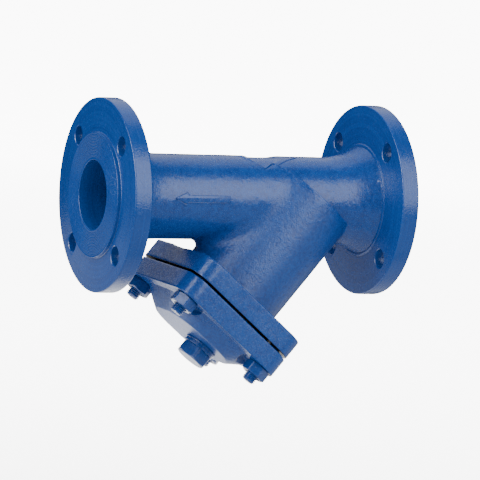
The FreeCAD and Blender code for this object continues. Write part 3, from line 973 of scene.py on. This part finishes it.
def end_ring(name, node, start, sign):
    """A turned end ring: a flange that seats, and a short sleeve inside the sheet."""
    shoulder = start + 2 * MM * sign
    end = shoulder + 5 * MM * sign
    corners = [
        (25.2 * MM, start),
        (29 * MM, start),
        (29 * MM, shoulder),
        (27.5 * MM, shoulder),
        (27.5 * MM, end),
        (26.3 * MM, end),
        (26.3 * MM, shoulder),
        (25.2 * MM, shoulder),
    ]
    radii = [r * MM for r in (0.3, 0.4, 0.3, 0, 0.3, 0.3, 0.4, 0.3)]
    thing = mesh_object(name, lathe(rounded(corners, radii)), LEG)
    smooth_shaded(thing, 40)
    return finished(thing, "screen_body", "screen", screen_steel, node)


end_ring("screen_top_ring", "screen_seat_ring", 7.3 * MM, 1)
end_ring("screen_bottom_ring", "screen_base_ring", 115.7 * MM, -1)

# ---------------------------------------------------------------- floor, light, camera

# The floor lies just below the nuts when the cover is drawn off and the nuts are unscrewed.
travel = {joint["name"]: joint["range_m"][1] for joint in frame["joints"] if "range_m" in joint}
drawn_off = (travel["cover_lift"] + travel["nut_1_unscrew"]) * math.sin(LEG_ANGLE)
FLOOR_Z = cad_box[0].z - drawn_off - 8 * MM
FLOOR_REACH = 20

floor_bm = bmesh.new()
bmesh.ops.create_grid(floor_bm, x_segments=8, y_segments=8, size=FLOOR_REACH)
floor = mesh_object("floor", floor_bm, Matrix.Translation((0, 0, FLOOR_Z)))
floor.data.materials.append(pale_floor("pale_floor"))
floor.visible_diffuse = False
floor.visible_glossy = False

world = bpy.data.worlds.new("studio")
bpy.context.scene.world = world
world.use_nodes = True
sky = world.node_tree.nodes["Background"]
sky.inputs["Color"].default_value = (1, 1, 1, 1)
sky.inputs["Strength"].default_value = 0.85
world.cycles_visibility.glossy = False

middle = (cad_box[0] + cad_box[1]) / 2


def softbox(name, place, aim, width, height, radiance):
    """A soft panel of even brightness at a place, aimed at a point, that no camera sees."""
    data = bpy.data.lights.new(name, "AREA")
    data.shape = "RECTANGLE"
    data.size = width
    data.size_y = height
    data.energy = radiance * math.pi * width * height
    lamp = bpy.data.objects.new(name, data)
    lamp.location = place
    lamp.rotation_mode = "QUATERNION"
    lamp.rotation_quaternion = (aim - place).to_track_quat("-Z", "Y")
    lamp.visible_camera = False
    bpy.context.scene.collection.objects.link(lamp)
    return lamp


def toward(azimuth, elevation):
    """A direction in degrees. Azimuth 0 is to the front and 90 is to the inlet's side."""
    a, e = math.radians(azimuth), math.radians(elevation)
    return Vector((math.sin(a) * math.cos(e), -math.cos(a) * math.cos(e), math.sin(e)))


def around(azimuth, elevation, distance):
    """A place at a distance from the strainer's middle."""
    return middle + distance * toward(azimuth, elevation)


# These panels are only seen in the paint's sheen: the soft fill and the sky light its colour.
# The low ones lie just under the strainer and face up, like patches of a near floor.
sheen = [
    softbox("key", around(23, 25, 1.9), middle, 1.4, 1.9, 3.7),
    softbox("left_sheen", around(-78, 26, 1.6), middle, 1.8, 1.5, 5.5),
]
for name, x, y, width, depth, radiance in (
    ("low_left", -0.18, 0.45, 0.7, 0.75, 0.5),
    ("low_behind", 0.07, 0.07, 0.24, 0.15, 2.4),
    ("low_under", 0.12, 0.0, 0.5, 0.2, 0.7),
    ("low_front", 0.12, -0.33, 1.4, 0.44, 0.6),
):
    place = Vector((x, y, cad_box[0].z - 7 * MM))
    sheen.append(softbox(name, place, place + Vector((0, 0, 1)), width, depth, radiance))
for panel in sheen:
    panel.visible_diffuse = False
softbox("back", around(168, 50, 1.9), middle, 2.0, 2.3, 1.0)
softbox("left", around(-85, 26, 1.9), middle, 0.24, 1.5, 13)
softbox("fill", around(8, 36, 1.9), middle, 1.3, 2.2, 1.6).visible_glossy = False

# A small lamp overhead lights only the floor, where it draws the strainer's shadow.
overhead = softbox("overhead", middle + Vector((0, 0.1, 1.4)), middle, 0.28, 0.28, 110)
floor_only = bpy.data.collections.new("floor_only")
floor_only.objects.link(floor)
overhead.light_linking.receiver_collection = floor_only

AZIMUTH = -25.79
ELEVATION = 6.39
ROLL = math.radians(3.79)
AIM = Vector((0.1168, -0.0047, -0.0306))
DISTANCE = 2.527
LENS = 260.4

back = toward(AZIMUTH, ELEVATION)
level = Vector((0, 0, 1)).cross(back).normalized()
upright = back.cross(level)
right = level * math.cos(ROLL) + upright * math.sin(ROLL)
up = upright * math.cos(ROLL) - level * math.sin(ROLL)
camera_data = bpy.data.cameras.new("camera")
camera_data.lens = LENS
camera_data.clip_end = 60
camera = bpy.data.objects.new("camera", camera_data)
camera.rotation_mode = "QUATERNION"
camera.rotation_quaternion = Matrix((right, up, back)).transposed().to_quaternion()
camera.location = AIM + back * DISTANCE
bpy.context.scene.collection.objects.link(camera)
bpy.context.scene.camera = camera

bpy.context.view_layer.update()
